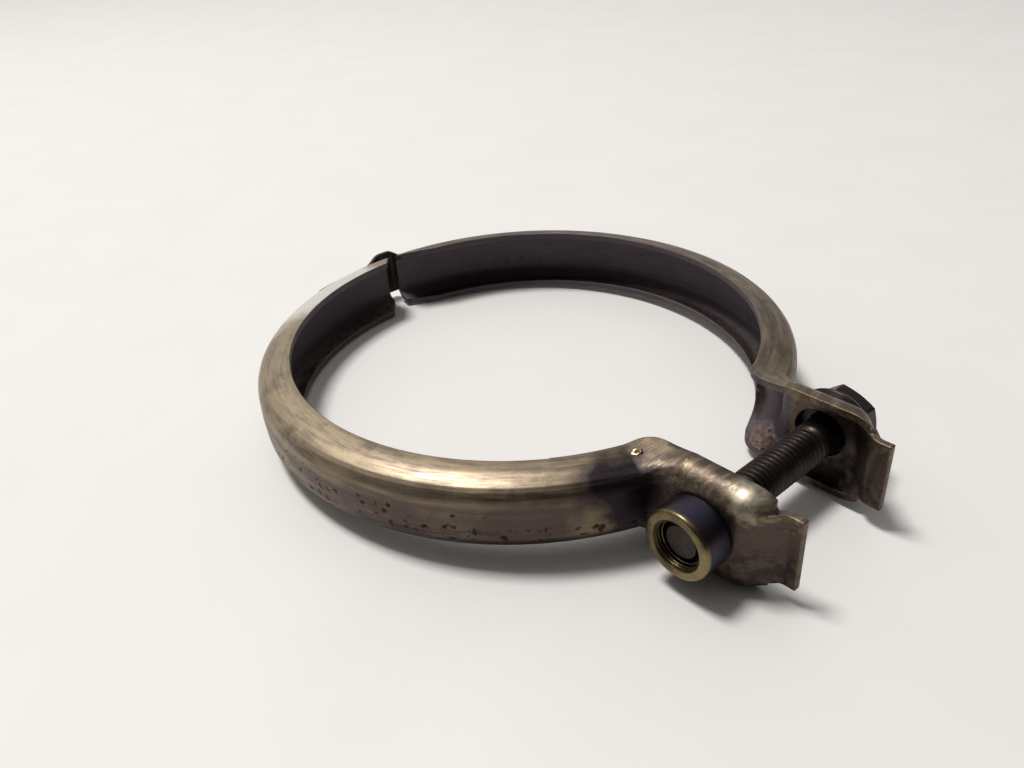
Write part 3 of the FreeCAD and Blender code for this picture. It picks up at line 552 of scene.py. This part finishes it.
def screw(material):
    """The clamp's screw with its rolled thread, its flange and its chamfered hexagon head."""
    mesh = bmesh.new()
    threaded_rod(mesh, SCREW_TIP, THREAD_END, 48)
    flange = (corner(SEAT + 1.6, FLANGE_RADIUS - FLANGE_RIM, FLANGE_RIM, 150, 90, 3)
              + corner(SEAT + 1.7, FLANGE_RADIUS - FLANGE_SHOULDER, FLANGE_SHOULDER, 90, 45, 3))
    shank_end = THREAD_END - 0.01
    body = [(shank_end, 0.0), (shank_end, MAJOR), (SEAT - 0.4, MAJOR), (SEAT, 4.3), (SEAT, 6.7)]
    lathe(mesh, body + flange + [(FLANGE_TOP, 7.7), (FLANGE_TOP, 0.0)], 72)
    head = bmesh.new()
    widest = ACROSS_FLATS / 2 / math.cos(math.radians(30))
    radii = [FACE_RADIUS + (widest - FACE_RADIUS) * k / 8 for k in range(8, -1, -1)]
    cone = [(HEAD_TOP - (r - FACE_RADIUS) * CHAMFER, r) for r in radii]
    foot = FLANGE_TOP - 0.05
    lathe(head, [(foot, 0.0), (foot, widest)] + cone + [(HEAD_TOP, 0.0)], 72)
    for v in head.verts:
        out = Vector((0, v.co.y - SCREW_Y, v.co.z - DROP))
        if out.length < 1e-4:
            continue
        limit = hexagon_radius(math.atan2(out.z, out.y))
        if out.length > limit:
            if v.co.x > FLANGE_TOP and out.length < widest - 1e-3:
                v.co.x = HEAD_TOP - (limit - FACE_RADIUS) * CHAMFER
            out = out.normalized() * limit
            v.co.y, v.co.z = SCREW_Y + out.y, DROP + out.z
    bmesh.ops.remove_doubles(head, verts=head.verts, dist=1e-3)
    spare = bpy.data.meshes.new("head")
    head.to_mesh(spare)
    head.free()
    mesh.from_mesh(spare)
    return finished(mesh, "threaded_clamp_screw", material)


def nut(material):
    """The round nut: a rounded sleeve with a threaded bore and the turns of thread in its recess."""
    mesh = bmesh.new()
    inner, outer, recess_floor = -20.3, -26.7, -25.1
    wall, bore, recess = 6.9, 4.1, 4.95
    turns_apart, crest = 0.62, recess - 0.42
    thread = []
    for k in range(2):
        x = recess_floor - 0.05 - k * turns_apart
        thread += [(x, recess), (x - 0.12, recess), (x - 0.28, crest), (x - 0.40, crest)]
    profile = ([(inner, bore), (recess_floor, bore)] + thread + [(outer + 0.3, recess)]
               + corner(outer + 0.25, recess + 0.3, 0.25, -90, -180, 3)
               + corner(outer + 0.7, wall - 0.7, 0.7, 180, 90, 5)
               + corner(inner - 0.5, wall - 0.5, 0.5, 90, 0, 4) + [(inner, bore)])
    lathe(mesh, profile, 72)
    return finished(mesh, "recessed_round_nut", material)


def strap(material):
    """The joining strip: wings on the crowns, an arch over the gap, and a weld dimple on each wing."""
    gauge, reach, arch = 1.0, math.radians(23.2), 2.4
    half_width, wider_at_arch, corner_radius = 5.0, 1.3, 1.2
    dimple_place, dimple_radius, dimple_depth = math.radians(15.5), 2.3, 0.35
    clear_of_crown = 0.03
    mesh = bmesh.new()
    bmesh.ops.create_grid(mesh, x_segments=150, y_segments=12, size=0.5)
    bmesh.ops.solidify(mesh, geom=mesh.faces[:], thickness=-1.0)
    for v in mesh.verts:
        across = v.co.x * 2 * reach
        side = math.sin(across) * (CROWN + 0.5)
        # The arch rises from its foot to its top, gently over the front half and steeply over the rear one
        foot, top = (7.6, 0.8) if side > 0 else (4.9, 1.7)
        t = min(max((foot - abs(side)) / (foot - top), 0.0), 1.0)
        rise = t * t * (3 - 2 * t)
        half = half_width + wider_at_arch * rise
        end = (reach - abs(across)) * CROWN
        half -= corner_radius * (1 - min(end / corner_radius, 1.0)) ** 2
        level = v.co.y * 2 * half
        lift = 1.0 if abs(v.co.z) > 0.5 else 0.0
        spot = math.hypot((abs(across) - dimple_place) * CROWN, level)
        sink = dimple_depth * max(0.0, 1 - (spot / dimple_radius) ** 2) * lift
        radius = CROWN + clear_of_crown + arch * rise + lift * gauge - sink
        azimuth = across - GAP_MIDDLE
        v.co = (-radius * math.sin(azimuth), radius * math.cos(azimuth), level)
    bmesh.ops.recalc_face_normals(mesh, faces=mesh.faces)
    bmesh.ops.bevel(mesh, geom=sharp_edges(mesh, 50), offset=EDGE_BREAK, offset_type="OFFSET",
                    affect="EDGES", segments=2, profile=0.5, material=-1, clamp_overlap=False)
    return finished(mesh, "welded_back_strap", material)


def spatter(material):
    """A bead of weld spatter with a sunken middle, on the bend of the front half."""
    wall_radius, ring_radius = 0.38, 0.62
    spot, out_of_bend = (-19.61, -52.49, 7.60), (-0.26, -0.14, 0.96)
    mesh = bmesh.new()
    ring = bmesh.ops.create_circle(mesh, segments=10, radius=wall_radius)["verts"]
    bmesh.ops.rotate(mesh, verts=ring, cent=(0, 0, 0), matrix=Matrix.Rotation(math.pi / 2, 3, "X"))
    bmesh.ops.translate(mesh, verts=ring, vec=(ring_radius, 0, 0))
    bmesh.ops.spin(mesh, geom=mesh.verts[:] + mesh.edges[:], cent=(0, 0, 0), axis=(0, 0, 1),
                   angle=2 * math.pi, steps=24, use_merge=True, use_duplicate=False)
    bmesh.ops.remove_doubles(mesh, verts=mesh.verts, dist=1e-4)
    for v in mesh.verts:
        turn = math.atan2(v.co.y, v.co.x)
        v.co *= 1 + 0.16 * math.sin(2 * turn + 0.7) + 0.10 * math.sin(5 * turn + 2.0)
        v.co.z *= 0.75 + 0.45 * math.cos(turn - 0.5)
    up = Vector(out_of_bend).to_track_quat("Z", "Y").to_matrix()
    bmesh.ops.rotate(mesh, verts=mesh.verts, cent=(0, 0, 0), matrix=up)
    bmesh.ops.translate(mesh, verts=mesh.verts, vec=spot)
    return finished(mesh, "weld_spatter_bead", material)


band = band_steel()
# Cold-formed and oiled steel, browned nearly black by heat
fastener = dark_steel("heat_browned_screw_steel", "#3d3531", "#2a2423", 5, 0.40, "#7d7263")
# The strip's rolled steel, under a dull grey-brown scale
strap_metal = dark_steel("scaled_strap_steel", "#4a423d", "#393331", 8, 0.45, "#93866f")
# A bead of bare weld metal, yellowed by heat
bead_metal = dark_steel("bare_weld_metal", "#c9b183", "#5f4a2c", 0.7, 0.30, "#e6dcc0")

for node, name, body in (("rear_half_band", "pressed_rear_half", "rear_half"),
                         ("front_half_band", "pressed_front_half", "front_half")):
    piece = pressing(node, name, band)
    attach(piece, body)
    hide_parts(node)

screw_piece = screw(fastener)
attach(screw_piece, "screw")
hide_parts("clamp_screw")

nut_piece = nut(nut_steel())
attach(nut_piece, "nut")
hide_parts("round_nut")

strap_piece = strap(strap_metal)
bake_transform(strap_piece)
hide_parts("back_strap")

bead = spatter(bead_metal)
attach(bead, "front_half")


# Stage, light and camera

# Degrees from the ears' side round to the side that the camera stands on
CAMERA_SIDE = -40.2


def look(vector):
    """A direction or place whose +Y points away from the camera's side, turned into the clamp's frame."""
    return Matrix.Rotation(math.radians(CAMERA_SIDE), 3, "Z") @ Vector(vector)


data = bpy.data.meshes.new("table")
half_table = 2.5
corners = [(sx * half_table, sy * half_table, 0) for sx, sy in ((-1, -1), (1, -1), (1, 1), (-1, 1))]
data.from_pydata(corners, [], [(0, 1, 2, 3)])
floor = bpy.data.objects.new("table", data)
bpy.context.scene.collection.objects.link(floor)
data.materials.append(table_top())
floor.location = (0, EARS_Y * MM, FLOOR_AT_EARS * MM)
floor.rotation_euler = (math.atan(FLOOR_RISE), 0, 0)

# A room that is bright behind and above the clamp and dim on the camera's side
world = bpy.data.worlds.new("pale_room")
bpy.context.scene.world = world
world.use_nodes = True
tree = world.node_tree
towards = add(tree, "ShaderNodeTexCoord").outputs["Generated"]
bright_side = tuple(look((-0.35, 0.80, 0.50)).normalized())
level = add(tree, "ShaderNodeVectorMath", {0: towards, 1: bright_side},
            operation="DOT_PRODUCT").outputs["Value"]
level = add(tree, "ShaderNodeMapRange", {"Value": level, "From Min": -0.15, "From Max": 0.80}).outputs[0]
tree.links.new(painted(tree, "#383534", level, "#f2f1f0"), tree.nodes["Background"].inputs[0])
tree.nodes["Background"].inputs[1].default_value = 0.70
bpy.context.scene.view_settings.view_transform = "Standard"


def soft_light(name, direction, distance, width, power, colour):
    """An area light that faces the clamp from a direction seen from the camera's side."""
    lamp = bpy.data.lights.new(name, "AREA")
    lamp.shape = "SQUARE"
    lamp.size = width
    lamp.energy = power
    lamp.color = linear(colour)[:3]
    made = bpy.data.objects.new(name, lamp)
    bpy.context.scene.collection.objects.link(made)
    towards_lamp = look(direction).normalized()
    made.location = towards_lamp * distance
    made.rotation_mode = "QUATERNION"
    made.rotation_quaternion = towards_lamp.to_track_quat("Z", "Y")


soft_light("window", direction=(-0.2865, 0.1158, 0.951), distance=1.6, width=0.36, power=20.0,
           colour="#fffdfc")

# The camera as the ring's two inner ellipses in the photograph give it, its lens and picture in pixels
LENS_PIXELS = 848.8
PICTURE_WIDTH = 1024
SENSOR_WIDTH = 36.0
camera_data = bpy.data.cameras.new("camera")
camera_data.sensor_width = SENSOR_WIDTH
camera_data.lens = LENS_PIXELS / PICTURE_WIDTH * SENSOR_WIDTH
camera_data.clip_start, camera_data.clip_end = 0.01, 20.0
camera = bpy.data.objects.new("camera", camera_data)
bpy.context.scene.collection.objects.link(camera)
right = look((0.99753559, -0.02078672, -0.06701241))
up = look((0.06792169, 0.52554212, 0.84805196))
behind = look((0.01758963, -0.8505136, 0.52565884))
place = look((0.0, -3.28234 * SEAT_RADIUS * MM, 1.86341 * SEAT_RADIUS * MM))
camera.matrix_world = Matrix((
    (right.x, up.x, behind.x, place.x),
    (right.y, up.y, behind.y, place.y),
    (right.z, up.z, behind.z, place.z),
    (0, 0, 0, 1)))
bpy.context.scene.camera = camera
